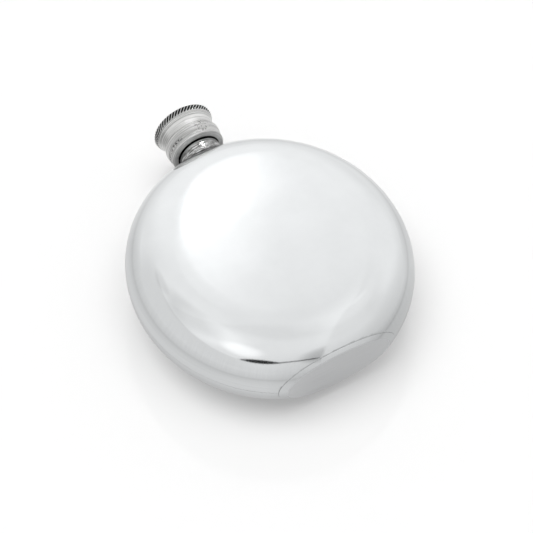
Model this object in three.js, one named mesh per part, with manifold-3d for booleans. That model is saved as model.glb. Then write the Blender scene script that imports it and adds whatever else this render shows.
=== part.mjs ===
// Round pewter hip flask, lying on its back: two spun half shells soldered edge to edge,
// a foot plate that closes the trimmed lower edge, a soldered neck, and a screw cap
// made of a knurled turned shell, a threaded bush and a loose sealing disc.
// Millimetres. +Z is the front face's normal, +Y runs from the foot to the cap.

import * as THREE from "three";
import { mergeGeometries, mergeVertices } from "three/addons/utils/BufferGeometryUtils.js";
import Module from "manifold-3d";

// Body
const bodyDiameter = 95;
const bodyThickness = 36;
const faceCrown = 1; // rise of each face above its round edge
const faceFlat = 14; // radius of the flat middle of each face, on which the flask lies
const wall = 1.2;
const solderGap = 0.1; // joint between two soldered pieces

// Foot
const footTrim = 3.85; // depth cut off the round edge, down to the foot's flat
const footThickness = 1.25;

// Neck
const neckRadius = 7.2;
const neckWall = 1.5;
const neckHeight = 12.8; // edge of the body to the neck's rim
const neckReach = 1.8; // length inside the body
const collarHeight = 4.6; // edge of the body to the foot of the thread
const collarFlare = 1.1; // fillet that spreads the neck onto the body
const collarFilletHeight = 2.4;
const threadDepth = 0.45;
const rimChamfer = 0.4;

// Cap
const threadPlay = 0.3; // radial room between the neck and the bush
const bushWall = 1;
const capWall = 0.85; // thinnest place, at the waist
const capHeight = 12.35; // lip to the edge of the knurled rim
const capRoof = 1.45; // inside of the roof to the edge of the knurled rim
const capCrown = 1.05; // rise of the top above that edge
const lipHeight = 2.1;
const lipRise = 0.45; // radii of the outer forms, above the waist
const lipRound = 0.5;
const mouthChamfer = 0.6;
const barrelRise = 0.35;
const beadRise = 0.65;
const rimFlare = 1.83;
const grooveWidth = 0.4;
const beadLevel = 5.8; // heights above the lip
const waistLevel = 8.1;
const knurlHeight = 1.75;
const knurlCount = 56;
const knurlDepth = 0.65;
const knurlWidth = 0.8;
const knurlSlant = Math.PI / 4;
const rimRound = 0.3;

// Sealing disc
const sealThickness = 1.6;
const sealPlay = 0.1; // above and below the disc
const sealEdgePlay = 0.3;

// Facets
const bodySides = 60;
const edgeSteps = 4; // half the chords of a quarter of the round edge
const faceSteps = 2;
const roundSides = 48;
const collarSteps = 4; // chords of one curved stretch of an outline
const lipSteps = 2;
const capSideSteps = 3;
const capTopSteps = 1;
const weldDistance = 1e-4;

// Sizes that follow from those above
const bodyRadius = bodyDiameter / 2;
const halfThickness = bodyThickness / 2;
const edgeRadius = halfThickness - faceCrown;
const edgeCentre = bodyRadius - edgeRadius;
const crownReach = edgeCentre - faceFlat;
const faceRadius = (crownReach ** 2 + halfThickness ** 2 - edgeRadius ** 2) / (2 * faceCrown);
const footDepth = bodyRadius - footTrim;
const footJoint = footDepth - footThickness;

const neckTop = bodyRadius + neckHeight;
const neckFoot = bodyRadius - wall - neckReach;
const collarTop = bodyRadius + collarHeight;
const threadCore = neckRadius - threadDepth;
const neckBore = neckRadius - neckWall;

const sealFloor = neckTop + sealPlay;
const roofLevel = sealFloor + sealThickness + sealPlay;
const rimLevel = roofLevel + capRoof;
const capTop = rimLevel + capCrown;
const lipLevel = rimLevel - capHeight;
const jointLevel = lipLevel + lipHeight;
const knurlLevel = rimLevel - knurlHeight;

const bushBore = neckRadius + threadPlay;
const bushRadius = bushBore + bushWall;
const bushTop = sealFloor - sealPlay;
const shellBore = bushRadius + solderGap;
const waistRadius = shellBore + capWall;
const rimRadius = waistRadius + rimFlare;
const knurlFloor = rimRadius - knurlDepth;

const bodyCentreY = (footDepth - capTop) / 2; // the whole length is centred on the origin
const bodyCentreZ = halfThickness; // the back touches the ground

const wasm = await Module();
wasm.setup();

function solidOf(geometry) {
  const bare = new THREE.BufferGeometry();
  bare.setAttribute("position", geometry.getAttribute("position"));
  bare.setIndex(geometry.getIndex());
  const merged = mergeVertices(bare, weldDistance);
  const vertProperties = merged.getAttribute("position").array;
  const triVerts = new Uint32Array(merged.getIndex().array);
  return new wasm.Manifold(new wasm.Mesh({ numProp: 3, vertProperties, triVerts }));
}

function geometryOf(solid) {
  const { vertProperties, triVerts } = solid.getMesh();
  const geometry = new THREE.BufferGeometry();
  geometry.setAttribute("position", new THREE.BufferAttribute(vertProperties, 3));
  geometry.setIndex(new THREE.BufferAttribute(triVerts, 1));
  geometry.computeVertexNormals();
  return geometry;
}

// A block between two corners, given as [x, y, z].
function block(low, high) {
  const size = high.map((value, axis) => value - low[axis]);
  const centre = high.map((value, axis) => (value + low[axis]) / 2);
  return solidOf(new THREE.BoxGeometry(...size).translate(...centre));
}

// A round form about the neck's axis, from an outline of radius and height.
function turned(outline, steps = 1) {
  return new THREE.LatheGeometry(outline.getPoints(steps), roundSides);
}

// The whole pebble-shaped body, grown or shrunk by an offset: a round edge, a crowned
// margin and a flat middle on each face, all tangent. It is turned about the thickness, Z.
function bodySolid(offset) {
  const crownCentre = faceRadius - halfThickness;
  const meet = Math.atan2(crownCentre, crownReach);
  const crown = faceRadius + offset;
  const edge = edgeRadius + offset;
  const half = new THREE.Path();
  half.absarc(faceFlat, -crownCentre, crown, Math.PI / 2, meet, true);
  const face = half.getPoints(faceSteps);
  const rim = new THREE.Path();
  rim.absarc(edgeCentre, 0, edge, meet, 0, true);
  const middle = new THREE.Vector2(0, halfThickness + offset);
  const front = [middle, ...face, ...rim.getPoints(edgeSteps).slice(1)];
  const back = front.slice(0, -1).map((point) => new THREE.Vector2(point.x, -point.y));
  const outline = [...back, ...front.reverse()];
  return solidOf(new THREE.LatheGeometry(outline, bodySides).rotateX(Math.PI / 2));
}

const outerBody = bodySolid(0);
const innerBody = bodySolid(-wall);
const reach = bodyDiameter; // larger than any cut

function neckHole() {
  const bore = new THREE.CylinderGeometry(
    neckRadius + solderGap,
    neckRadius + solderGap,
    bodyRadius,
    roundSides,
  );
  return solidOf(bore.translate(0, bodyRadius, 0));
}

// One spun half, open at the neck and at the foot.
function halfShell(side) {
  const seam = solderGap / 2;
  const low = [-reach, -footJoint, side > 0 ? seam : -reach];
  const high = [reach, reach, side > 0 ? reach : -seam];
  const shell = outerBody.subtract(innerBody).intersect(block(low, high));
  return geometryOf(shell.subtract(neckHole()));
}

// The foot carries on the curve of the body down to its flat.
function footPlate() {
  const slab = block([-reach, -footDepth, -reach], [reach, -footJoint - solderGap, reach]);
  return geometryOf(outerBody.intersect(slab));
}

// A tube with a saddle-shaped collar, which sits on the body, and a reduced stretch for the thread.
function neckTube() {
  const tube = new THREE.Path();
  tube.moveTo(neckBore, neckFoot);
  tube.lineTo(neckRadius, neckFoot);
  tube.lineTo(neckRadius, collarTop);
  tube.lineTo(threadCore, collarTop + threadDepth);
  tube.lineTo(threadCore, neckTop - rimChamfer);
  tube.lineTo(threadCore - rimChamfer, neckTop);
  tube.lineTo(neckBore, neckTop);
  tube.lineTo(neckBore, neckFoot);

  const collarRadius = neckRadius + collarFlare;
  const inside = (neckRadius + neckBore) / 2;
  const filletTop = bodyRadius + collarFilletHeight;
  const collar = new THREE.Path();
  collar.moveTo(inside, neckFoot);
  collar.lineTo(collarRadius, neckFoot);
  collar.lineTo(collarRadius, bodyRadius);
  collar.quadraticCurveTo(neckRadius, bodyRadius, neckRadius, filletTop);
  collar.lineTo(inside, filletTop);
  collar.lineTo(inside, neckFoot);

  const saddle = solidOf(turned(collar, collarSteps)).subtract(bodySolid(solderGap));
  return geometryOf(solidOf(turned(tube)).add(saddle));
}

// Slanting V-shaped cuts round the edge of the cap, on a floor of constant radius.
function knurlCuts() {
  const opening = rimRadius + knurlDepth;
  const halfWidth = knurlWidth * ((opening - knurlFloor) / knurlDepth / 2);
  const section = new THREE.Shape();
  section.moveTo(0, knurlFloor);
  section.lineTo(halfWidth, opening);
  section.lineTo(-halfWidth, opening);
  const length = (knurlHeight + capCrown + rimRound) / Math.cos(knurlSlant);
  const cut = new THREE.ExtrudeGeometry(section, { depth: length, bevelEnabled: false });
  cut.rotateY(knurlSlant);
  cut.rotateX(-Math.PI / 2);
  cut.translate(0, knurlLevel, 0);
  const cuts = [];
  for (let i = 0; i < knurlCount; i += 1) {
    cuts.push(cut.clone().rotateY((2 * Math.PI * i) / knurlCount));
  }
  return solidOf(mergeGeometries(cuts));
}

// The outside of the cap: barrel, bead, waist and flared rim under a low crown.
function capShell() {
  const barrelRadius = waistRadius + barrelRise;
  const beadRadius = waistRadius + beadRise;
  const beadTop = lipLevel + beadLevel;
  const waist = lipLevel + waistLevel;
  const floor = jointLevel + solderGap;
  const easeIn = (waist - beadTop) / 2;
  const easeOut = (knurlLevel - waist) / 2;
  const crownEdge = rimRadius - rimRound;
  const crownRadius = (crownEdge ** 2 + capCrown ** 2) / (2 * capCrown);
  const crownAngle = Math.asin(crownEdge / crownRadius);

  const side = new THREE.Path();
  side.moveTo(shellBore, floor);
  side.lineTo(waistRadius, floor);
  side.lineTo(waistRadius, floor + grooveWidth);
  side.lineTo(barrelRadius, floor + 2 * grooveWidth);
  side.lineTo(beadRadius, beadTop);
  side.bezierCurveTo(beadRadius, beadTop + easeIn, waistRadius, waist - easeIn, waistRadius, waist);
  side.quadraticCurveTo(waistRadius, waist + easeOut, knurlFloor, knurlLevel);

  const top = new THREE.Path();
  top.absarc(crownEdge, rimLevel - rimRound, rimRound, 0, Math.PI / 2, false);
  top.absarc(0, capTop - crownRadius, crownRadius, Math.PI / 2 - crownAngle, Math.PI / 2, false);
  const points = [...side.getPoints(capSideSteps), ...top.getPoints(capTopSteps)];
  points[points.length - 1].x = 0;

  const bore = [
    new THREE.Vector2(0, roofLevel),
    new THREE.Vector2(shellBore, roofLevel),
    new THREE.Vector2(shellBore, floor),
  ];
  const profile = [...bore, ...points.slice(1)];
  const shell = solidOf(new THREE.LatheGeometry(profile, knurlCount));
  return geometryOf(shell.subtract(knurlCuts()));
}

// The threaded lining, with the plain lip that closes the cap's lower end.
function capBush() {
  const lipRadius = waistRadius + lipRise;
  const outline = new THREE.Path();
  outline.moveTo(bushBore + mouthChamfer, lipLevel);
  outline.lineTo(lipRadius - lipRound, lipLevel);
  outline.absarc(lipRadius - lipRound, lipLevel + lipRound, lipRound, -Math.PI / 2, 0, false);
  outline.lineTo(lipRadius, jointLevel - lipRise);
  outline.lineTo(waistRadius, jointLevel);
  outline.lineTo(bushRadius, jointLevel);
  outline.lineTo(bushRadius, bushTop);
  outline.lineTo(bushBore, bushTop);
  outline.lineTo(bushBore, lipLevel + 2 * mouthChamfer);
  outline.lineTo(bushBore + mouthChamfer, lipLevel);
  return turned(outline, lipSteps);
}

// The disc that the cap presses on the neck's rim. It lies loose between bush and roof.
function capSeal() {
  const radius = shellBore - sealEdgePlay;
  const outline = new THREE.Path();
  outline.moveTo(0, sealFloor);
  outline.lineTo(radius, sealFloor);
  outline.lineTo(radius, sealFloor + sealThickness);
  outline.lineTo(0, sealFloor + sealThickness);
  return turned(outline);
}

const polishedPewter = { color: 0xd4d6d8, metalness: 1, roughness: 0.12 };
const satinPewter = { color: 0xbfc0c0, metalness: 1, roughness: 0.38 };
const mattePewter = { color: 0xb4b5b6, metalness: 1, roughness: 0.55 };
const sealPlastic = { color: 0xe6e3da, metalness: 0, roughness: 0.6 };

function piece(name, geometry, finish) {
  const mesh = new THREE.Mesh(geometry, new THREE.MeshStandardMaterial(finish));
  mesh.name = name;
  return mesh;
}

const flask = new THREE.Group();
flask.add(
  piece("front_shell", halfShell(1), polishedPewter),
  piece("rear_shell", halfShell(-1), polishedPewter),
  piece("foot_plate", footPlate(), mattePewter),
  piece("neck", neckTube(), polishedPewter),
);

const cap = new THREE.Group();
cap.add(
  piece("cap_shell", capShell(), satinPewter),
  piece("cap_bush", capBush(), satinPewter),
  piece("cap_seal", capSeal(), sealPlastic),
);

const hipFlask = new THREE.Group();
hipFlask.add(flask, cap);
hipFlask.position.set(0, bodyCentreY, bodyCentreZ);

export default hipFlask;
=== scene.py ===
import math

import bmesh
import bpy
from mathutils import Matrix, Quaternion, Vector


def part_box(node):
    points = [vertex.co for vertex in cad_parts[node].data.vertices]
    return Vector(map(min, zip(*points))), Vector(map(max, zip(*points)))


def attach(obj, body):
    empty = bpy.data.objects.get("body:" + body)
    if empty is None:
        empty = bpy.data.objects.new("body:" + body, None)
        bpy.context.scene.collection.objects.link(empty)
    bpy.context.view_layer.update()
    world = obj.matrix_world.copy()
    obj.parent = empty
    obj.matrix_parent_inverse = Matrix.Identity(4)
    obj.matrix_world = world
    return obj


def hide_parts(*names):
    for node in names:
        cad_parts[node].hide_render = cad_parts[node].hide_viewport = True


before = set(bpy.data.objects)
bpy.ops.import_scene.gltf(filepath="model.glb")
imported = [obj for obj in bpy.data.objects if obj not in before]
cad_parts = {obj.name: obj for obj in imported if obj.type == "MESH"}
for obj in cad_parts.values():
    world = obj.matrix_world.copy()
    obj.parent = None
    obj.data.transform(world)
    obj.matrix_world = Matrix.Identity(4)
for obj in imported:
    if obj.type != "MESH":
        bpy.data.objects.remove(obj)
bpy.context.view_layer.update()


# The two half shells
# Equal pebble-shaped halves, spun from sheet pewter over a former and soldered edge to edge.
# The joint is buffed down to a hairline round the equator, and the outside is mirror polished.

MM = 0.001
FULL_TURN = 2 * math.pi

foot_low, foot_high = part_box("foot_plate")
_, front_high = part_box("front_shell")
rear_low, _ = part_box("rear_shell")

body_radius = front_high.x
half_thickness = (front_high.z - rear_low.z) / 2
shell_wall = 1.2 * MM
foot_trim = 3.85 * MM
foot_seam = 0.03 * MM
solder_gap = 0.1 * MM
neck_radius = 7.2 * MM
bore_sides = 96
sharp_turn = math.radians(32)

foot_depth = body_radius - foot_trim
body_centre = Vector((0, foot_low.y + foot_depth, (front_high.z + rear_low.z) / 2))
foot_joint = body_centre.y - foot_high.y - foot_seam

# Three tangent arcs make the profile: the round edge, a shoulder, and the crowned face.
# The turns are those of the surface's normal, from the equator up.
# The radii of the edge and the face follow from the half's size.
shoulder_radius = 50 * MM
edge_turn = math.radians(82)
face_turn = math.radians(87.5)
across = body_radius - shoulder_radius * (math.cos(edge_turn) - math.cos(face_turn))
upward = half_thickness - shoulder_radius * (math.sin(face_turn) - math.sin(edge_turn))
arcs = Matrix((
    (1 - math.cos(edge_turn), math.cos(face_turn)),
    (math.sin(edge_turn), 1 - math.sin(face_turn)),
))
edge_radius, face_radius = arcs.inverted() @ Vector((across, upward))
edge_centre = body_radius - edge_radius
shoulder_offset = edge_radius - shoulder_radius
shoulder_centre = (edge_centre + shoulder_offset * math.cos(edge_turn), 0,
                   shoulder_offset * math.sin(edge_turn))
crown_centre = face_radius - half_thickness

body_sides = 240
edge_steps = 44
shoulder_steps = 10
face_steps = 18
weld_distance = 0.001 * MM


def half_skin():
    """The outer skin of one half about the origin: a round edge, a shoulder and a crowned face.
    Its first facet straddles the joint, so that the two halves shade as one."""
    bm = bmesh.new()
    start = bm.verts.new((body_radius, 0, 0))
    half_step = edge_turn / edge_steps / 2
    bmesh.ops.rotate(bm, verts=[start], cent=(edge_centre, 0, 0),
                     matrix=Matrix.Rotation(half_step, 3, "Y"))
    last = [start]
    for centre, turn, steps in (
        ((edge_centre, 0, 0), edge_turn + half_step, edge_steps),
        (shoulder_centre, face_turn - edge_turn, shoulder_steps),
        ((0, 0, -crown_centre), math.pi / 2 - face_turn, face_steps),
    ):
        arc = bmesh.ops.spin(bm, geom=last, cent=centre, axis=(0, -1, 0), angle=turn, steps=steps)
        last = [part for part in arc["geom_last"] if isinstance(part, bmesh.types.BMVert)]
    bmesh.ops.spin(bm, geom=bm.verts[:] + bm.edges[:], cent=(0, 0, 0), axis=(0, 0, 1),
                   angle=FULL_TURN, steps=body_sides, use_merge=True)
    bmesh.ops.remove_doubles(bm, verts=bm.verts, dist=weld_distance)
    trim(bm, (0, 0, 0), (0, 0, -1))
    bmesh.ops.recalc_face_normals(bm, faces=bm.faces)
    return bm


def trim(bm, point, outward):
    """Cuts away what lies outward of a plane."""
    bmesh.ops.bisect_plane(bm, geom=bm.verts[:] + bm.edges[:] + bm.faces[:], dist=weld_distance,
                           plane_co=point, plane_no=outward, clear_outer=True)


def shown(name, bm):
    """The mesh as an object of its own, smooth except along real edges."""
    mesh = bpy.data.meshes.new(name)
    bm.to_mesh(mesh)
    bm.free()
    mesh.shade_smooth()
    mesh.set_sharp_from_angle(angle=sharp_turn)
    obj = bpy.data.objects.new(name, mesh)
    bpy.context.scene.collection.objects.link(obj)
    return obj


def bake_modifiers(obj):
    """Applies the object's modifiers to its mesh."""
    depsgraph = bpy.context.evaluated_depsgraph_get()
    obj.data = bpy.data.meshes.new_from_object(obj.evaluated_get(depsgraph))
    obj.modifiers.clear()


def half_shell(name, side):
    """One half with its wall, trimmed at the foot's joint and bored for the neck.
    side is 1 in front and -1 behind."""
    bm = half_skin()
    trim(bm, (0, -foot_joint, 0), (0, -1, 0))
    bmesh.ops.scale(bm, vec=(1, 1, side), verts=bm.verts)
    bmesh.ops.recalc_face_normals(bm, faces=bm.faces)
    bmesh.ops.translate(bm, vec=body_centre, verts=bm.verts)
    shell = shown(name, bm)
    wall = shell.modifiers.new("wall", "SOLIDIFY")
    wall.thickness = shell_wall
    wall.offset = -1
    wall.use_even_offset = True
    drill = bmesh.new()
    bore = neck_radius + solder_gap
    bmesh.ops.create_cone(drill, cap_ends=True, segments=bore_sides, radius1=bore, radius2=bore,
                          depth=body_radius)
    bmesh.ops.rotate(drill, verts=drill.verts, matrix=Matrix.Rotation(math.pi / 2, 3, "X"))
    bmesh.ops.translate(drill, verts=drill.verts, vec=body_centre + Vector((0, body_radius, 0)))
    tool = shown(name + "_drill", drill)
    hole = shell.modifiers.new("neck hole", "BOOLEAN")
    hole.object = tool
    hole.solver = "EXACT"
    bake_modifiers(shell)
    bpy.data.objects.remove(tool)
    return shell


def linear(hex_colour):
    """A colour written as sRGB hex, turned to linear light."""
    parts = [int(hex_colour[i:i + 2], 16) / 255 for i in (1, 3, 5)]
    return [c / 12.92 if c <= 0.04045 else ((c + 0.055) / 1.055) ** 2.4 for c in parts] + [1]


def add(tree, kind, inputs, **settings):
    """Adds a node with its settings. inputs gives each socket a value, or a node's output to link."""
    made = tree.nodes.new(kind)
    for name, value in settings.items():
        setattr(made, name, value)
    for socket, value in inputs.items():
        if isinstance(value, bpy.types.NodeSocket):
            tree.links.new(value, made.inputs[socket])
        else:
            made.inputs[socket].default_value = value
    return made


def new_material(name):
    """An empty node material: its tree, and its Principled shader already linked to the output."""
    material = bpy.data.materials.new(name)
    material.use_nodes = True
    material.node_tree.nodes.clear()
    shader = material.node_tree.nodes.new("ShaderNodeBsdfPrincipled")
    add(material.node_tree, "ShaderNodeOutputMaterial", {"Surface": shader.outputs[0]})
    return material, material.node_tree, shader


def polished_pewter():
    """Mirror-buffed pewter: a bright, faintly cool mirror, dulled by hairline buffing marks.
    They run up the round edge above the joint and along it lower down, and wander over the faces."""
    material, tree, shader = new_material("polished_pewter")
    coords = add(tree, "ShaderNodeTexCoord", {})
    centred = add(tree, "ShaderNodeMapping", {
        "Vector": coords.outputs["Object"], "Location": -body_centre,
    })
    axes = add(tree, "ShaderNodeSeparateXYZ", {0: centred.outputs[0]})
    x, y, z = axes.outputs
    height = add(tree, "ShaderNodeMath", {0: z}, operation="ABSOLUTE")
    angle = add(tree, "ShaderNodeMath", {0: x, 1: y}, operation="ARCTAN2")
    mark_width = 0.45 * MM
    mark_length = 6 * MM
    round_length = 3 * mark_length
    across = add(tree, "ShaderNodeMath", {0: angle.outputs[0], 1: body_radius / mark_width},
                 operation="MULTIPLY")
    upward = add(tree, "ShaderNodeMath", {0: z, 1: 1 / mark_length}, operation="MULTIPLY")
    edge_place = add(tree, "ShaderNodeCombineXYZ", {0: across.outputs[0], 1: upward.outputs[0]})
    edge_marks = add(tree, "ShaderNodeTexNoise", {
        "Vector": edge_place.outputs[0], "Scale": 1, "Detail": 3,
    })
    round_place = add(tree, "ShaderNodeCombineXYZ", {
        0: add(tree, "ShaderNodeMath", {0: angle.outputs[0], 1: body_radius / round_length},
               operation="MULTIPLY").outputs[0],
        1: add(tree, "ShaderNodeMath", {0: z, 1: 1 / mark_width}, operation="MULTIPLY").outputs[0],
    })
    round_marks = add(tree, "ShaderNodeTexNoise", {
        "Vector": round_place.outputs[0], "Scale": 1, "Detail": 3,
    })
    band_top = 6 * MM
    band_fade = 1 * MM
    low_band = add(tree, "ShaderNodeMapRange", {
        "Value": height.outputs[0], "From Min": band_top + band_fade, "From Max": band_top - band_fade,
    })
    marks = add(tree, "ShaderNodeMix", {
        "Factor": low_band.outputs[0], "A": edge_marks.outputs["Fac"], "B": round_marks.outputs["Fac"],
    })
    flattened = add(tree, "ShaderNodeVectorMath", {0: centred.outputs[0], 1: (1, 1, 0)},
                    operation="MULTIPLY")
    reach = add(tree, "ShaderNodeVectorMath", {0: flattened.outputs[0]}, operation="LENGTH")
    edge_fade = 10 * MM
    on_edge = add(tree, "ShaderNodeMapRange", {
        "Value": reach.outputs["Value"], "From Min": edge_centre, "From Max": edge_centre + edge_fade,
    })
    cloud_size = 14 * MM
    cloud = add(tree, "ShaderNodeTexNoise", {
        "Vector": centred.outputs[0], "Scale": 1 / cloud_size, "Detail": 4, "Roughness": 0.6,
    })
    cloud_gloss = add(tree, "ShaderNodeMapRange", {
        "Value": cloud.outputs["Fac"], "From Min": 0.3, "From Max": 0.7, "To Min": 0.07, "To Max": 0.095,
    })
    mark_gloss = add(tree, "ShaderNodeMapRange", {
        "Value": marks.outputs[0], "From Min": 0.3, "From Max": 0.7, "To Min": 0.06, "To Max": 0.12,
    })
    gloss = add(tree, "ShaderNodeMix", {
        "Factor": on_edge.outputs[0], "A": cloud_gloss.outputs[0], "B": mark_gloss.outputs[0],
    })
    relief = add(tree, "ShaderNodeMath", {0: marks.outputs[0], 1: on_edge.outputs[0]},
                 operation="MULTIPLY")
    bump = add(tree, "ShaderNodeBump", {
        "Height": relief.outputs[0], "Strength": 0.04, "Distance": 0.1 * MM,
    })
    clean_height = 14 * MM
    handled_height = 9 * MM
    handled = add(tree, "ShaderNodeMapRange", {
        "Value": height.outputs[0], "From Min": clean_height, "From Max": handled_height,
    })
    haze = add(tree, "ShaderNodeMix", {
        "Factor": handled.outputs[0], "A": cloud.outputs["Fac"], "B": marks.outputs[0],
    })
    shade = add(tree, "ShaderNodeMix", {
        "Factor": add(tree, "ShaderNodeMapRange", {
            "Value": haze.outputs[0], "From Min": 0.3, "From Max": 0.7,
        }).outputs[0],
        "A": linear("#ECEEEF"), "B": linear("#F0F2F3"),
    }, data_type="RGBA")
    tree.links.new(shade.outputs["Result"], shader.inputs["Base Color"])
    shader.inputs["Metallic"].default_value = 1
    tree.links.new(gloss.outputs[0], shader.inputs["Roughness"])
    tree.links.new(bump.outputs[0], shader.inputs["Normal"])
    return material


body_finish = polished_pewter()
for name, side, node in (("front_half", 1, "front_shell"), ("rear_half", -1, "rear_shell")):
    half = half_shell(name, side)
    half.data.materials.append(body_finish)
    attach(half, "flask")
    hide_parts(node)


# The foot
# A thick oval plate that closes the trimmed edge and carries the body's curve down to a flat.
# It is cut from pewter plate and soldered on. Its band is polished with the body; the flat is linished.

foot_edge = 0.18 * MM
foot_edge_steps = 3
polished, linished = 0, 1

bm = half_skin()
bmesh.ops.mirror(bm, geom=bm.verts[:] + bm.edges[:] + bm.faces[:], axis="Z", merge_dist=weld_distance)
bmesh.ops.recalc_face_normals(bm, faces=bm.faces)
trim(bm, (0, -foot_depth, 0), (0, -1, 0))
trim(bm, (0, foot_high.y - body_centre.y, 0), (0, 1, 0))
bmesh.ops.holes_fill(bm, edges=[edge for edge in bm.edges if edge.is_boundary])
bmesh.ops.recalc_face_normals(bm, faces=bm.faces)
flat = min(bm.faces, key=lambda face: face.calc_center_median().y)
flat.material_index = linished
eased = bmesh.ops.bevel(bm, geom=flat.edges[:], offset=foot_edge, offset_type="OFFSET", affect="EDGES",
                        segments=foot_edge_steps, profile=0.5, material=-1, clamp_overlap=True)
for face in eased["faces"]:
    face.material_index = polished
bmesh.ops.translate(bm, vec=body_centre, verts=bm.verts)
foot = shown("foot", bm)


def linished_pewter():
    """Pewter rubbed flat on an abrasive belt: an even, cool grey with fine lines along the oval,
    and no mirror."""
    material, tree, shader = new_material("linished_pewter")
    coords = add(tree, "ShaderNodeTexCoord", {})
    line_width = 0.3 * MM
    line_length = 14 * MM
    stretched = add(tree, "ShaderNodeMapping", {
        "Vector": coords.outputs["Object"], "Scale": (1 / line_length, 0, 1 / line_width),
    })
    lines = add(tree, "ShaderNodeTexNoise", {"Vector": stretched.outputs[0], "Scale": 1, "Detail": 4})
    shade = add(tree, "ShaderNodeMix", {
        "Factor": lines.outputs["Fac"], "A": linear("#E3E4E5"), "B": linear("#F5F6F7"),
    }, data_type="RGBA")
    gloss = add(tree, "ShaderNodeMapRange", {
        "Value": lines.outputs["Fac"], "From Min": 0.3, "From Max": 0.7, "To Min": 0.42, "To Max": 0.58,
    })
    bump = add(tree, "ShaderNodeBump", {
        "Height": lines.outputs["Fac"], "Strength": 0.1, "Distance": 0.05 * MM,
    })
    tree.links.new(shade.outputs["Result"], shader.inputs["Base Color"])
    tree.links.new(gloss.outputs[0], shader.inputs["Roughness"])
    tree.links.new(bump.outputs[0], shader.inputs["Normal"])
    shader.inputs["Metallic"].default_value = 1
    return material


foot.data.materials.append(body_finish)
foot.data.materials.append(linished_pewter())
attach(foot, "flask")
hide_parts("foot_plate")


# The neck
# A turned pewter tube let into both halves, with a fillet of solder that saddles the round edge
# of the body, and a coarse right-hand thread below its rim.

neck_low, neck_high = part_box("neck")
neck_top = neck_high.y - body_centre.y
neck_foot = neck_low.y - body_centre.y
neck_wall = 1.5 * MM
thread_depth = 0.45 * MM
thread_lead = 2.5 * MM
thread_turns = 2.5
thread_half_base = 0.62 * MM
thread_half_crest = 0.14 * MM
thread_sink = 0.05 * MM
collar_radius = 7.65 * MM
shoulder_level = body_radius + 3.22 * MM
thread_start = body_radius + 5.8 * MM
fillet_width = 0.65 * MM
fillet_height = 2.4 * MM
fillet_steps = 8
fillet_foot = collar_radius + fillet_width
fillet_top = body_radius + fillet_height
crevice = 0.2 * MM
crevice_shade_top = body_radius + 0.3 * MM
crevice_shade_fade = 0.2 * MM
round_sides = 144

neck_bore = neck_radius - neck_wall
thread_core = neck_radius - thread_depth


def turned(outline, sides=round_sides, segments=5):
    """A closed outline turned about the neck's axis. Each point is (radius, level, ease), in metres.
    level is measured along the neck from the body's centre; ease rounds the corner by that length."""
    bm = bmesh.new()
    corners = [bm.verts.new((radius, level, 0)) for radius, level, ease in outline]
    for start, end in zip(corners, corners[1:] + corners[:1]):
        bm.edges.new((start, end))
    for corner, (radius, level, ease) in zip(corners, outline):
        if ease:
            bmesh.ops.bevel(bm, geom=[corner], offset=ease, offset_type="OFFSET", affect="VERTICES",
                            segments=segments, profile=0.5, material=-1)
    bmesh.ops.spin(bm, geom=bm.verts[:] + bm.edges[:], cent=(0, 0, 0), axis=(0, 1, 0),
                   angle=FULL_TURN, steps=sides, use_merge=True)
    bmesh.ops.remove_doubles(bm, verts=bm.verts, dist=weld_distance)
    bmesh.ops.recalc_face_normals(bm, faces=bm.faces)
    return bm


def thread(bm, root, crest, start, turns):
    """Adds a right-hand ridge that winds up the neck's axis and dies away at both ends."""
    steps = round(round_sides * turns)
    section = [(root, -thread_half_base), (crest, -thread_half_crest),
               (crest, thread_half_crest), (root, thread_half_base)]
    corners = [bm.verts.new((radius, start + level, 0)) for radius, level in section]
    first = bm.faces.new(corners)
    before = set(bm.verts) - set(corners)
    bmesh.ops.spin(bm, geom=[first], cent=(0, 0, 0), axis=(0, 1, 0),
                   dvec=(0, thread_lead * turns / steps, 0), angle=FULL_TURN * turns, steps=steps)
    ridge = [vert for vert in bm.verts if vert not in before]
    run_out = thread_lead / 5
    top = start + thread_lead * turns
    for vert in ridge:
        radius = math.hypot(vert.co.x, vert.co.z)
        left = min(vert.co.y - start, top - vert.co.y) / run_out
        sunk = root + (radius - root) * min(1, max(0, left))
        vert.co.x *= sunk / radius
        vert.co.z *= sunk / radius
    bmesh.ops.recalc_face_normals(bm, faces=list({face for vert in ridge for face in vert.link_faces}))


def body_edge(x, z):
    """How far the body's round edge reaches along the neck, beside the axis."""
    return math.sqrt((edge_centre + math.sqrt(edge_radius**2 - z * z)) ** 2 - x * x)


fillet = []
for step in range(fillet_steps + 1):
    turn = math.pi / 2 * step / fillet_steps
    radius = collar_radius + fillet_width * (1 - math.sin(turn))
    level = body_radius + fillet_height * (1 - math.cos(turn))
    fillet.append((radius, level, 0))

bm = turned([
    (neck_bore, neck_foot, 0),
    (neck_radius, neck_foot, 0),
    (neck_radius, body_radius - 2.5 * MM, 0),
    (fillet_foot - 0.15 * MM, body_radius - 0.4 * MM, 0),
    (fillet_foot - 0.03 * MM, body_radius - 0.02 * MM, 0),
    *fillet,
    (collar_radius, shoulder_level, 0.2 * MM),
    (thread_core, shoulder_level, 0.04 * MM),
    (thread_core, neck_top, 0.35 * MM),
    (neck_bore, neck_top, 0.25 * MM),
])
# Painted shade: the fillet's foot is darkened where it meets the body.
crevice_shade = bm.verts.layers.float.new("notch")
for vert in bm.verts:
    radius = math.hypot(vert.co.x, vert.co.z)
    if radius > collar_radius + weld_distance and vert.co.y < fillet_top:
        vert[crevice_shade] = min(1, max(0, (crevice_shade_top - vert.co.y) / crevice_shade_fade))
        low = min(1, (fillet_top - vert.co.y) / fillet_height)
        vert.co.y += low * (body_edge(vert.co.x, vert.co.z) - body_radius + crevice)
thread(bm, thread_core - thread_sink, neck_radius, thread_start, thread_turns)
bmesh.ops.translate(bm, vec=body_centre, verts=bm.verts)
neck = shown("neck_tube", bm)


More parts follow.
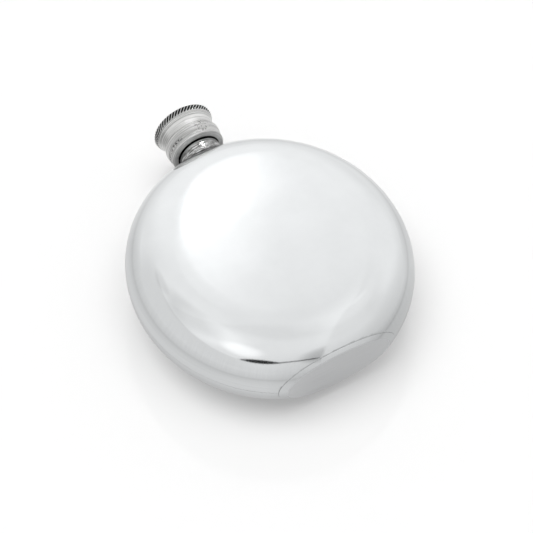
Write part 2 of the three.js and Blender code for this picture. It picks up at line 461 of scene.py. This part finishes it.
def turned_pewter():
    """Pewter left bright from the lathe: a soft mirror with close turning lines round the neck's axis,
    mottled near the body where solder has run over it, and painted shade darkens the crevice under the
    fillet."""
    material, tree, shader = new_material("turned_pewter")
    coords = add(tree, "ShaderNodeTexCoord", {})
    centred = add(tree, "ShaderNodeMapping", {
        "Vector": coords.outputs["Object"], "Location": -body_centre,
    })
    level = add(tree, "ShaderNodeSeparateXYZ", {0: centred.outputs[0]}).outputs["Y"]
    clean_level = body_radius + 3.0 * MM
    solder_level = body_radius + 2.2 * MM
    soldered = add(tree, "ShaderNodeMapRange", {
        "Value": level, "From Min": clean_level, "From Max": solder_level,
    })
    run_length = 2.6 * MM
    run_width = 0.55 * MM
    runs = add(tree, "ShaderNodeTexNoise", {
        "Vector": add(tree, "ShaderNodeMapping", {
            "Vector": centred.outputs[0], "Scale": (1 / run_length, 1 / run_width, 1 / run_length),
        }).outputs[0],
        "Scale": 1, "Detail": 4, "Roughness": 0.65,
    })
    mottle = add(tree, "ShaderNodeMapRange", {
        "Value": runs.outputs["Fac"], "From Min": 0.4, "From Max": 0.56,
    })
    solder = add(tree, "ShaderNodeMath", {0: mottle.outputs[0], 1: soldered.outputs[0]},
                 operation="MULTIPLY")
    shade = add(tree, "ShaderNodeMix", {
        "Factor": solder.outputs[0], "A": linear("#E0E1E1"), "B": linear("#7A7A78"),
    }, data_type="RGBA")
    # Painted shade: the mesh's attribute darkens the fillet's foot to near black.
    crevice_shade = add(tree, "ShaderNodeMix", {
        "Factor": add(tree, "ShaderNodeAttribute", {}, attribute_name="notch").outputs["Fac"],
        "A": shade.outputs["Result"], "B": linear("#121211"),
    }, data_type="RGBA")
    line_width = 0.16 * MM
    line_length = 16.7 * MM
    stretched = add(tree, "ShaderNodeMapping", {
        "Vector": coords.outputs["Object"], "Scale": (1 / line_length, 1 / line_width, 1 / line_length),
    })
    lines = add(tree, "ShaderNodeTexNoise", {"Vector": stretched.outputs[0], "Scale": 1, "Detail": 2})
    gloss = add(tree, "ShaderNodeMapRange", {
        "Value": lines.outputs["Fac"], "From Min": 0.3, "From Max": 0.7, "To Min": 0.12, "To Max": 0.22,
    })
    fine = add(tree, "ShaderNodeBump", {
        "Height": lines.outputs["Fac"], "Strength": 0.06, "Distance": 0.05 * MM,
    })
    lumps = add(tree, "ShaderNodeMath", {0: runs.outputs["Fac"], 1: soldered.outputs[0]},
                operation="MULTIPLY")
    bump = add(tree, "ShaderNodeBump", {
        "Height": lumps.outputs[0], "Strength": 0.5, "Distance": 0.2 * MM, "Normal": fine.outputs[0],
    })
    tree.links.new(crevice_shade.outputs["Result"], shader.inputs["Base Color"])
    shader.inputs["Metallic"].default_value = 1
    tree.links.new(gloss.outputs[0], shader.inputs["Roughness"])
    tree.links.new(bump.outputs[0], shader.inputs["Normal"])
    return material


neck.data.materials.append(turned_pewter())
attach(neck, "flask")
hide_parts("neck")


# The sealing disc
# A loose disc of pale food-safe polythene, punched from sheet. It lies in the cap's roof,
# and the cap presses it on the neck's rim.

seal_low, seal_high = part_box("cap_seal")
seal_radius = seal_high.x
seal_floor = seal_low.y - body_centre.y
seal_top = seal_high.y - body_centre.y
seal_ease = 0.25 * MM

bm = turned([
    (0, seal_floor, 0),
    (seal_radius, seal_floor, seal_ease),
    (seal_radius, seal_top, seal_ease),
    (0, seal_top, 0),
])
bmesh.ops.translate(bm, vec=body_centre, verts=bm.verts)
seal = shown("sealing_disc", bm)


def seal_plastic():
    """Soft polythene, punched from sheet: milky, waxy and slightly mottled, with a dull sheen."""
    material, tree, shader = new_material("seal_polythene")
    coords = add(tree, "ShaderNodeTexCoord", {})
    mottle_size = 2.5 * MM
    mottle = add(tree, "ShaderNodeTexNoise", {
        "Vector": coords.outputs["Object"], "Scale": 1 / mottle_size, "Detail": 3,
    })
    shade = add(tree, "ShaderNodeMix", {
        "Factor": mottle.outputs["Fac"], "A": linear("#DDD8CB"), "B": linear("#EEEAE0"),
    }, data_type="RGBA")
    tree.links.new(shade.outputs["Result"], shader.inputs["Base Color"])
    shader.inputs["Roughness"].default_value = 0.5
    shader.inputs["IOR"].default_value = 1.51
    shader.inputs["Subsurface Weight"].default_value = 0.1
    shader.inputs["Subsurface Radius"].default_value = (0.8 * MM, 0.7 * MM, 0.6 * MM)
    return material


seal.data.materials.append(seal_plastic())
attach(seal, "seal")
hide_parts("cap_seal")


# The cap's lining
# A turned and threaded pewter bush, pressed and soldered into the cap. Its rolled lip closes
# the lower end, and a groove with solder specks marks the joint with the cap's outside.

lining_low, lining_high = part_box("cap_bush")
lip_level = lining_low.y - body_centre.y
lining_top = lining_high.y - body_centre.y
lip_radius = lining_high.x
lip_height = 2.1 * MM
lip_roll = 0.85 * MM
lip_line_level = lip_level + 1.0 * MM
lip_line_depth = 0.12 * MM
lip_line_reach = 0.05 * MM
line_grime = 0.26
bush_bore = neck_radius + 0.3 * MM
bush_wall = 1.0 * MM
bush_ease = 0.15 * MM
bush_radius = bush_bore + bush_wall
bush_thread_depth = 0.42 * MM
bush_thread_turns = 2.2
waist_radius = bush_radius + solder_gap + 0.85 * MM
waist_level = lip_level + 6.15 * MM
joint_level = lip_level + lip_height
groove_radius = waist_radius + 0.3 * MM
mouth_chamfer = 0.45 * MM

bm = turned([
    (bush_bore + mouth_chamfer, lip_level, bush_ease),
    (lip_radius, lip_level, lip_roll),
    (lip_radius, lip_line_level - 0.08 * MM, 0.03 * MM),
    (lip_radius - lip_line_depth, lip_line_level, 0.02 * MM),
    (lip_radius - 0.02 * MM, lip_line_level + 0.1 * MM, 0.03 * MM),
    (lip_radius, joint_level - 0.35 * MM, 0.3 * MM),
    (groove_radius, joint_level, 0.05 * MM),
    (bush_radius, joint_level, 0),
    (bush_radius, lining_top, bush_ease),
    (bush_bore, lining_top, bush_ease),
    (bush_bore, lip_level + 2 * mouth_chamfer, 0.2 * MM),
])
lip_line = bm.verts.layers.float.new("notch")
for vert in bm.verts:
    outside = math.hypot(vert.co.x, vert.co.z) > bush_radius
    if outside and abs(vert.co.y - lip_line_level) < lip_line_reach:
        vert[lip_line] = line_grime
thread(bm, bush_bore + thread_sink, bush_bore - bush_thread_depth, thread_start + thread_lead / 2,
       bush_thread_turns)
bmesh.ops.translate(bm, vec=body_centre, verts=bm.verts)
lining = shown("cap_lining", bm)


def satin_pewter():
    """Cast and turned pewter, left satin: mid grey, ringed by tool lines and streaked, with a patch of
    pinholes.
    It is brighter in the cove and duller on the lip. A streaked patch of painted shade darkens the
    cove's left end, painted shade darkens the bore and the knurl's notches, and dirt stays in the fine
    lines and the joint's groove."""
    material, tree, shader = new_material("satin_pewter")
    coords = add(tree, "ShaderNodeTexCoord", {})
    centred = add(tree, "ShaderNodeMapping", {
        "Vector": coords.outputs["Object"], "Location": -body_centre,
    })
    axes = add(tree, "ShaderNodeSeparateXYZ", {0: centred.outputs[0]})
    x, level, _ = axes.outputs
    line_width = 0.3 * MM
    line_length = 11.1 * MM
    stretched = add(tree, "ShaderNodeMapping", {
        "Vector": centred.outputs[0], "Scale": (1 / line_length, 1 / line_width, 1 / line_length),
    })
    lines = add(tree, "ShaderNodeTexNoise", {"Vector": stretched.outputs[0], "Scale": 1, "Detail": 3})
    streak_width = 0.45 * MM
    streak_length = 14 * MM
    streaked = add(tree, "ShaderNodeMapping", {
        "Vector": centred.outputs[0], "Scale": (1 / streak_length, 1 / streak_width, 1 / streak_length),
    })
    streaks = add(tree, "ShaderNodeTexNoise", {
        "Vector": streaked.outputs[0], "Scale": 1, "Detail": 5, "Roughness": 0.6,
    })
    shade = add(tree, "ShaderNodeMix", {
        "Factor": add(tree, "ShaderNodeMapRange", {
            "Value": streaks.outputs["Fac"], "From Min": 0.38, "From Max": 0.62,
        }).outputs[0],
        "A": linear("#AEAEAD"), "B": linear("#ECECEB"),
    }, data_type="RGBA")
    cove_fade = 0.6 * MM
    buffed = add(tree, "ShaderNodeMapRange", {
        "Value": level, "From Min": waist_level, "From Max": waist_level + cove_fade, "To Max": 0.35,
    })
    shade = add(tree, "ShaderNodeMix", {
        "Factor": buffed.outputs[0], "A": shade.outputs["Result"], "B": linear("#F6F6F5"),
    }, data_type="RGBA")
    # Painted shade: a dark, streaked patch on the cove's left end.
    cove_shade_place = Vector((-9.9, 60.4, 2.2)) * MM
    cove_shade_reach = 4.6 * MM
    cove_shade_core = 1.5 * MM
    from_cove_shade = add(tree, "ShaderNodeVectorMath", {0: centred.outputs[0], 1: cove_shade_place},
                     operation="DISTANCE")
    cove_shade = add(tree, "ShaderNodeMapRange", {
        "Value": from_cove_shade.outputs["Value"],
        "From Min": cove_shade_reach, "From Max": cove_shade_core, "To Max": 0.5,
    }, interpolation_type="SMOOTHSTEP")
    cove_shaded = add(tree, "ShaderNodeMath", {
        0: cove_shade.outputs[0],
        1: add(tree, "ShaderNodeMapRange", {
            "Value": streaks.outputs["Fac"], "From Min": 0.62, "From Max": 0.42, "To Min": 0.35,
        }).outputs[0],
    }, operation="MULTIPLY")
    shade = add(tree, "ShaderNodeMix", {
        "Factor": cove_shaded.outputs[0], "A": shade.outputs["Result"], "B": linear("#6A6A68"),
    }, data_type="RGBA")
    pit_size = 0.7 * MM
    pits = add(tree, "ShaderNodeTexNoise", {
        "Vector": centred.outputs[0], "Scale": 1 / pit_size, "Detail": 2,
    })
    pin_holes = add(tree, "ShaderNodeMapRange", {
        "Value": pits.outputs["Fac"], "From Min": 0.55, "From Max": 0.62, "To Max": 0.8,
    })
    patch_place = Vector((2.5, 54.8, 9.8)) * MM
    patch_reach = 3.6 * MM
    patch_core = 2 * MM
    from_patch = add(tree, "ShaderNodeVectorMath", {0: centred.outputs[0], 1: patch_place},
                     operation="DISTANCE")
    in_patch = add(tree, "ShaderNodeMapRange", {
        "Value": from_patch.outputs["Value"], "From Min": patch_reach, "From Max": patch_core,
    })
    pitted = add(tree, "ShaderNodeMath", {0: pin_holes.outputs[0], 1: in_patch.outputs[0]},
                 operation="MULTIPLY")
    # The mesh's attribute: painted shade in the knurl's notches, and dirt in the fine lines, the waist
    # and the lip's line.
    notch = add(tree, "ShaderNodeMapRange", {
        "Value": add(tree, "ShaderNodeAttribute", {}, attribute_name="notch").outputs["Fac"],
        "From Min": 0.12, "From Max": 0.3,
    })
    across = add(tree, "ShaderNodeVectorMath", {0: centred.outputs[0], 1: (1, 0, 1)},
                 operation="MULTIPLY")
    from_axis = add(tree, "ShaderNodeVectorMath", {0: across.outputs[0]}, operation="LENGTH")
    # Painted shade: the bore below the roof is darkened to near black.
    mouth_radius = bush_bore + mouth_chamfer
    mouth_fade = 0.1 * MM
    bored = add(tree, "ShaderNodeMapRange", {
        "Value": from_axis.outputs["Value"],
        "From Min": mouth_radius, "From Max": mouth_radius - mouth_fade,
    })
    below_roof = add(tree, "ShaderNodeMath", {0: level, 1: lining_top}, operation="LESS_THAN")
    inside = add(tree, "ShaderNodeMath", {0: bored.outputs[0], 1: below_roof.outputs[0]},
                 operation="MULTIPLY")
    groove_level = joint_level + 0.25 * MM
    groove_reach = 0.75 * MM
    groove_core = 0.25 * MM
    from_groove = add(tree, "ShaderNodeMath", {0: level, 1: groove_level}, operation="SUBTRACT")
    beside_groove = add(tree, "ShaderNodeMath", {0: from_groove.outputs[0]}, operation="ABSOLUTE")
    groove = add(tree, "ShaderNodeMapRange", {
        "Value": beside_groove.outputs[0], "From Min": groove_reach, "From Max": groove_core,
    })
    speck_size = 0.8 * MM
    specks = add(tree, "ShaderNodeTexNoise", {
        "Vector": centred.outputs[0], "Scale": 1 / speck_size, "Detail": 3, "Roughness": 0.7,
    })
    speckled = add(tree, "ShaderNodeMapRange", {
        "Value": specks.outputs["Fac"], "From Min": 0.5, "From Max": 0.57,
    })
    clean_side = -4 * MM
    speckled_side = -7 * MM
    one_side = add(tree, "ShaderNodeMapRange", {
        "Value": x, "From Min": clean_side, "From Max": speckled_side,
    })
    speckled = add(tree, "ShaderNodeMath", {0: speckled.outputs[0], 1: one_side.outputs[0]},
                   operation="MULTIPLY")
    thin_film = 0.05
    film = add(tree, "ShaderNodeMath", {0: speckled.outputs[0], 1: thin_film}, operation="MAXIMUM")
    in_groove = add(tree, "ShaderNodeMath", {0: groove.outputs[0], 1: film.outputs[0]},
                    operation="MULTIPLY")
    dark = notch
    for dirt in (in_groove, inside, pitted):
        dark = add(tree, "ShaderNodeMath", {0: dark.outputs[0], 1: dirt.outputs[0]}, operation="MAXIMUM")
    # Dirt in the fine lines, the groove and the pinholes, and painted shade in the knurl's notches and
    # the bore, mixed towards near black.
    dirt_and_painted_shade = add(tree, "ShaderNodeMix", {
        "Factor": dark.outputs[0], "A": shade.outputs["Result"], "B": linear("#0D0C0B"),
    }, data_type="RGBA")
    gloss = add(tree, "ShaderNodeMapRange", {
        "Value": lines.outputs["Fac"], "From Min": 0.3, "From Max": 0.7, "To Min": 0.36, "To Max": 0.5,
    })
    dull_level = lip_level + 0.9 * MM
    dulled = add(tree, "ShaderNodeMapRange", {
        "Value": level, "From Min": joint_level, "From Max": dull_level, "To Max": 0.28,
    })
    gloss = add(tree, "ShaderNodeMath", {0: gloss.outputs[0], 1: dulled.outputs[0]}, operation="ADD")
    relief = add(tree, "ShaderNodeMath", {0: lines.outputs["Fac"], 1: pitted.outputs[0]},
                 operation="SUBTRACT")
    bump = add(tree, "ShaderNodeBump", {
        "Height": relief.outputs[0], "Strength": 0.3, "Distance": 0.06 * MM,
    })
    tree.links.new(dirt_and_painted_shade.outputs["Result"], shader.inputs["Base Color"])
    tree.links.new(gloss.outputs[0], shader.inputs["Roughness"])
    tree.links.new(bump.outputs[0], shader.inputs["Normal"])
    shader.inputs["Metallic"].default_value = 1
    return material


cap_finish = satin_pewter()
lining.data.materials.append(cap_finish)
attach(lining, "cap")
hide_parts("cap_bush")


# The cap's outside
# Cast in pewter and turned in one piece: a round bead, a waist, and a long cove that flares to the rim
# under a low crown, with three fine grooves below the rim. The rim is knurled with slanting notches.

_, cap_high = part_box("cap_shell")
cap_top = cap_high.y - body_centre.y
rim_radius = 11.28 * MM
rim_level = cap_top - 1.05 * MM
knurl_count = 56
knurl_columns = 8
knurl_width = 1.1 * MM
knurl_depth = 0.65 * MM
knurl_height = 1.75 * MM
knurl_slant = math.radians(45)
knurl_run_in = 0.7 * MM
knurl_level = rim_level - knurl_height
knurl_top = rim_level + 0.1 * MM
knurl_floor = rim_radius - knurl_depth
knurl_shade_run_in = 0.15 * MM
shell_bore = bush_radius + solder_gap
shell_floor = joint_level + solder_gap
roof_level = seal_top + 0.1 * MM
bead_radius = waist_radius + 0.9 * MM
bead_level = lip_level + 4.5 * MM
waist_cut = 0.05 * MM
waist_step = 0.3 * MM
fine_grooves = [waist_level + up * MM for up in (3.2, 3.7, 4.2)]
line_reach = 0.06 * MM
waist_grime = 0.25
step_grime = 0.18

# The cove and its grooves, in millimetres from the waist: outward, upward, and the corner's ease.
cove = [
    (0.09, 1.9, 0.9),
    (0.58, 3.12, 0.05), (0.54, 3.2, 0.02), (0.65, 3.28, 0.03),
    (0.8, 3.62, 0.03), (0.75, 3.7, 0.02), (0.86, 3.78, 0.03),
    (1.0, 4.12, 0.03), (0.95, 4.2, 0.02), (1.06, 4.28, 0.03),
]

bm = turned([
    (0, roof_level, 0),
    (shell_bore, roof_level, 0.2 * MM),
    (shell_bore, shell_floor, 0.1 * MM),
    (groove_radius - 0.05 * MM, shell_floor, 0.08 * MM),
    (groove_radius - 0.05 * MM, shell_floor + 0.2 * MM, 0.08 * MM),
    (groove_radius + 0.2 * MM, shell_floor + 0.45 * MM, 0.15 * MM),
    (bead_radius - 0.02 * MM, bead_level - 0.7 * MM, 0.8 * MM),
    (bead_radius, bead_level + 0.4 * MM, 0.6 * MM),
    (bead_radius - 0.35 * MM, bead_level + 1.3 * MM, 0.4 * MM),
    (waist_radius - waist_cut, waist_level, 0.04 * MM),
    (waist_radius - waist_cut + 0.05 * MM, waist_level + waist_step, 0.1 * MM),
    *((waist_radius + out * MM, waist_level + up * MM, ease * MM) for out, up, ease in cove),
    (knurl_floor - 0.05 * MM, knurl_level - 0.05 * MM, 0.04 * MM),
    (knurl_floor + 0.1 * MM, knurl_level + 0.02 * MM, 0.06 * MM),
    (rim_radius - 0.16 * MM, knurl_level + 0.85 * MM, 0.4 * MM),
    (rim_radius, rim_level + 0.02 * MM, 0.1 * MM),
    (rim_radius - 0.5 * MM, rim_level + 0.22 * MM, 0.2 * MM),
    (rim_radius * 0.62, rim_level + 0.72 * MM, 1.5 * MM),
    (0, cap_top, 0),
], sides=knurl_count * knurl_columns)


def notch_depth(share):
    """Depth of the knurl's V at a share of its pitch: 0 on a crest, 1 in the middle of a notch."""
    pitch = FULL_TURN * rim_radius / knurl_count
    return max(0, 1 - abs(share - 0.5) * pitch / (knurl_width / 2))


dirty_lines = [(waist_level, waist_grime), (waist_level + waist_step, step_grime)]
dirty_lines += [(level, line_grime) for level in fine_grooves]
# Each vertex's darkening: painted shade in the knurl's notches, deepest mid-notch, and dirt in the waist
# and the fine grooves.
notch_share = bm.verts.layers.float.new("notch")
for vert in bm.verts:
    radius = math.hypot(vert.co.x, vert.co.z)
    if vert.co.y < knurl_level or radius < knurl_floor - 0.1 * MM:
        if radius > shell_bore + weld_distance:
            vert[notch_share] = sum(share for level, share in dirty_lines
                                    if abs(vert.co.y - level) < line_reach)
        continue
    angle = math.atan2(vert.co.x, vert.co.z)
    rise = vert.co.y - knurl_level
    depth = notch_depth(angle / FULL_TURN * knurl_count % 1) if vert.co.y < knurl_top else 0
    vert[notch_share] = depth * min(1, rise / knurl_shade_run_in)
    cut = radius - knurl_depth * depth * min(1, rise / knurl_run_in)
    slid = angle + math.tan(knurl_slant) * rise / rim_radius
    vert.co.x = cut * math.sin(slid)
    vert.co.z = cut * math.cos(slid)
bmesh.ops.recalc_face_normals(bm, faces=bm.faces)
bmesh.ops.translate(bm, vec=body_centre, verts=bm.verts)
cap = shown("cap_outside", bm)
cap.data.materials.append(cap_finish)
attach(cap, "cap")
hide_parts("cap_shell")


# The camera
# It looks down on the flask from the foot's side, a little turned on its own axis,
# and aims a little beside the body's centre.

view_azimuth = math.radians(-36.95)
view_elevation = math.radians(56.83)
view_roll = math.radians(9.05)
view_distance = 357 * MM
lens_length = 73.33
aim_left = 1.42 * MM
aim_down = 1.22 * MM

level_reach = math.cos(view_elevation)
backward = Vector((math.sin(view_azimuth) * level_reach, -math.cos(view_azimuth) * level_reach,
                   math.sin(view_elevation)))
turn = backward.to_track_quat("Z", "Y") @ Quaternion((0, 0, 1), view_roll)
aim = body_centre - turn @ Vector((aim_left, aim_down, 0))
camera = bpy.data.objects.new("camera", bpy.data.cameras.new("camera"))
camera.data.lens = lens_length
camera.data.sensor_width = 36
camera.location = aim + backward * view_distance
camera.rotation_mode = "QUATERNION"
camera.rotation_quaternion = turn
camera.data.clip_start = 0.01
bpy.context.scene.collection.objects.link(camera)
bpy.context.scene.camera = camera


# The floor
# A plain sheet of white paper that keeps the flask's soft shadow. A small lift of its own makes it white
# to the camera and in the metal.

floor_size = 30.0
floor_drop = 0.25 * MM
floor_lift = 0.222

bm = bmesh.new()
bmesh.ops.create_grid(bm, x_segments=1, y_segments=1, size=floor_size / 2)
bmesh.ops.translate(bm, verts=bm.verts, vec=(0, 0, -floor_drop))
floor = shown("floor", bm)
paper = bpy.data.materials.new("white_paper")
paper.use_nodes = True
tree = paper.node_tree
tree.nodes.clear()
rays = add(tree, "ShaderNodeLightPath", {})
seen = add(tree, "ShaderNodeMath", {0: rays.outputs["Is Camera Ray"], 1: rays.outputs["Is Glossy Ray"]},
           operation="ADD")
seen = add(tree, "ShaderNodeMath", {0: seen.outputs[0], 1: rays.outputs["Is Transmission Ray"]},
           operation="ADD", use_clamp=True)
lift = add(tree, "ShaderNodeMath", {0: seen.outputs[0], 1: floor_lift}, operation="MULTIPLY")
glow = add(tree, "ShaderNodeEmission", {"Color": (1, 1, 1, 1), "Strength": lift.outputs[0]})
matt = add(tree, "ShaderNodeBsdfDiffuse", {"Color": linear("#A3A3A3")})
both = add(tree, "ShaderNodeAddShader", {0: matt.outputs[0], 1: glow.outputs[0]})
add(tree, "ShaderNodeOutputMaterial", {"Surface": both.outputs[0]})
floor.data.materials.append(paper)


# The studio
# A white tent round the flask: bright behind and to the left, greyer on the camera's side and right.
# Directions are in degrees from the flask, with azimuth 0 on the camera's side, positive to its right.

camera_side = Vector((backward.x, backward.y, 0)).normalized()
camera_right = Vector((-camera_side.y, camera_side.x, 0))


def toward(azimuth, elevation):
    """The direction at that azimuth and elevation."""
    a, e = math.radians(azimuth), math.radians(elevation)
    level_part = math.cos(a) * camera_side + math.sin(a) * camera_right
    return math.cos(e) * level_part + Vector((0, 0, math.sin(e)))


world = bpy.data.worlds.new("studio")
bpy.context.scene.world = world
world.use_nodes = True
tree = world.node_tree
tree.nodes.clear()
direction = add(tree, "ShaderNodeTexCoord", {}).outputs["Generated"]

tent_level = 0.853
darkest = 0.02
# Each panel has a gain and the cones that bound it: azimuth, elevation, and the angles
# where it is full and gone.
panels = [
    (0.15, [(-157.5, 29.5, 1, 44)]),
    (0.17, [(-85.7, 0, 85.8, 94.2), (112, 0, 86, 94), (-170, 46.8, 3, 18)]),
    (70, [(-167.4, 49, 0.6, 2.9)]),
    (0.05, [(-159.5, 63.8, 1, 11)]),
    (0.27, [(-11, 38.3, 1, 15)]),
    (0.13, [(-40.8, 46.8, 9.5, 26.4)]),
    (-0.18, [(-60, 44.8, 1, 25)]),
    (-0.25, [(61, -32.4, 1, 90)]),
    (-0.06, [(59, 82, 1, 21)]),
    (0.06, [(138, 35, 9, 31)]),
    (0.07, [(114.6, 64.6, 1, 19.8)]),
    (-0.12, [(-90, 34.4, 1, 9.9)]),
    (0.03, [(61.3, 35.8, 7.6, 31.6)]),
    (0.04, [(-173.6, 51.7, 1.3, 15.6)]),
    (0.03, [(-27, 60, 8.6, 17.8)]),
    (-0.12, [(-153, -80, 115, 117), (-54, 3, 36, 61)]),
    (-0.9, [(5, 7.4, 17.9, 19.1), (-1.7, 49.9, 31.8, 32.8)]),
    (-0.8, [(25.4, -16, 39.7, 40.5), (205.4, 16, 141.3, 142.1), (26, 23, 11, 17)]),
    (0.05, [(-120.2, 47.7, 37.6, 38.8), (-50, 60, 15, 45)]),
    (-0.05, [(113, -9, 72.3, 73.7), (95, 62, 18, 34)]),
    (0.04, [(113, -9, 74, 84), (293, 9, 105.8, 107.2), (95, 62, 20, 42)]),
    (-0.25, [(46, 24, 3, 18), (293, 9, 105.8, 107.2)]),
    (0.06, [(131, 59.5, 1, 4.5)]),
]
total = tent_level
for gain, cones in panels:
    share = gain
    for azimuth, elevation, full, gone in cones:
        facing = add(tree, "ShaderNodeVectorMath", {0: direction, 1: toward(azimuth, elevation)},
                     operation="DOT_PRODUCT")
        within = add(tree, "ShaderNodeMapRange", {
            "Value": facing.outputs["Value"],
            "From Min": math.cos(math.radians(gone)), "From Max": math.cos(math.radians(full)),
        }, interpolation_type="SMOOTHSTEP")
        share = add(tree, "ShaderNodeMath", {0: within.outputs[0], 1: share},
                    operation="MULTIPLY").outputs[0]
    total = add(tree, "ShaderNodeMath", {0: share, 1: total}, operation="ADD").outputs[0]
total = add(tree, "ShaderNodeMath", {0: total, 1: darkest}, operation="MAXIMUM").outputs[0]
tent = add(tree, "ShaderNodeBackground", {"Color": (1, 1, 1, 1), "Strength": total})
add(tree, "ShaderNodeOutputWorld", {"Surface": tent.outputs[0]})

# A glowing grey disc just above the paper, which only the metal mirrors: a painted reflection of a table
# top, with a painted shadow darker under the flask, darker to the camera's right, lighter behind, and a
# fine dark line where its edge is. Its greys are set by the distance in millimetres from its middle.
table_radius = floor_size / 2
table_sides = 96
table_drop = 0.02 * MM
table_offset = 22 * MM
table_reach = 420 * MM
table_greys = ((0, 0.685), (88, 0.685), (100, 0.65), (112, 0.61), (118, 0.58), (120, 0.56),
               (124, 0.6), (135, 0.65), (180, 0.685), (250, 0.7), (400, 0.735))
painted_shadow_core = 43 * MM
painted_shadow_reach = 62 * MM
bm = bmesh.new()
bmesh.ops.create_circle(bm, cap_ends=True, segments=table_sides, radius=table_radius)
bmesh.ops.translate(bm, verts=bm.verts, vec=(0, 0, -table_drop))
table = shown("mirrored_table", bm)
grey = bpy.data.materials.new("glowing_table_reflection")
grey.use_nodes = True
tree = grey.node_tree
tree.nodes.clear()
place = add(tree, "ShaderNodeMapping", {
    "Vector": add(tree, "ShaderNodeTexCoord", {}).outputs["Object"],
    "Location": (-body_centre.x, -body_centre.y, 0),
})
near = add(tree, "ShaderNodeVectorMath", {0: place.outputs[0]}, operation="LENGTH").outputs["Value"]
# Painted shadow: the disc darkens towards the flask, half as much before the foot.
painted_contact_shadow = add(tree, "ShaderNodeMapRange", {
    "Value": near, "From Min": painted_shadow_core, "From Max": painted_shadow_reach, "To Min": -0.17, "To Max": 0,
}, interpolation_type="SMOOTHSTEP")
bearing = add(tree, "ShaderNodeVectorMath", {0: place.outputs[0]}, operation="NORMALIZE").outputs[0]
rightward = add(tree, "ShaderNodeVectorMath", {0: bearing, 1: toward(60, 0)}, operation="DOT_PRODUCT")
side_shade = add(tree, "ShaderNodeMapRange", {
    "Value": rightward.outputs["Value"], "From Min": 0.6, "From Max": 0.95, "To Min": 0, "To Max": -0.15,
})
before_foot = add(tree, "ShaderNodeMapRange", {
    "Value": rightward.outputs["Value"], "From Min": 0.9, "From Max": 0.97, "To Min": 1, "To Max": 0.5,
})
painted_contact_shadow = add(tree, "ShaderNodeMath", {0: painted_contact_shadow.outputs[0], 1: before_foot.outputs[0]},
              operation="MULTIPLY")
rearward = add(tree, "ShaderNodeVectorMath", {0: bearing, 1: toward(-165, 0)}, operation="DOT_PRODUCT")
back_light = add(tree, "ShaderNodeMapRange", {
    "Value": rearward.outputs["Value"], "From Min": 0.45, "From Max": 0.85, "To Min": 0, "To Max": 0.13,
})
from_middle = add(tree, "ShaderNodeVectorMath", {0: place.outputs[0], 1: table_offset * toward(115, 0)},
                  operation="DISTANCE").outputs["Value"]
top = add(tree, "ShaderNodeValToRGB", {
    "Fac": add(tree, "ShaderNodeMath", {0: from_middle, 1: table_reach}, operation="DIVIDE").outputs[0],
})
stops = top.color_ramp.elements
for distance, grey_level in table_greys:
    at = distance * MM / table_reach
    stop = stops[0] if distance == 0 else stops.new(at)
    stop.position = at
    stop.color = (grey_level, grey_level, grey_level, 1)
stops.remove(stops[-1])
level = top.outputs["Color"]
for part in (painted_contact_shadow, side_shade, back_light):
    level = add(tree, "ShaderNodeMath", {0: level, 1: part.outputs[0]}, operation="ADD").outputs[0]
glow = add(tree, "ShaderNodeEmission", {"Color": (1, 1, 1, 1), "Strength": level})
add(tree, "ShaderNodeOutputMaterial", {"Surface": glow.outputs[0]})
table.data.materials.append(grey)
table.visible_camera = False
table.visible_diffuse = False
table.visible_shadow = False

# Two wide lamps overhead that light the paper and leave the flask's shadow on it.
lamp_angle = math.radians(41)
for name, energy, azimuth, elevation in (("side_lamp", 2.88, -80, 69), ("rear_lamp", 1.18, 120, 76)):
    light = bpy.data.lights.new(name, "SUN")
    light.energy = energy
    light.angle = lamp_angle
    lamp = bpy.data.objects.new(name, light)
    lamp.rotation_mode = "QUATERNION"
    lamp.rotation_quaternion = toward(azimuth, elevation).to_track_quat("Z", "Y")
    lamp.visible_glossy = False
    bpy.context.scene.collection.objects.link(lamp)

bpy.context.scene.view_settings.view_transform = "Standard"
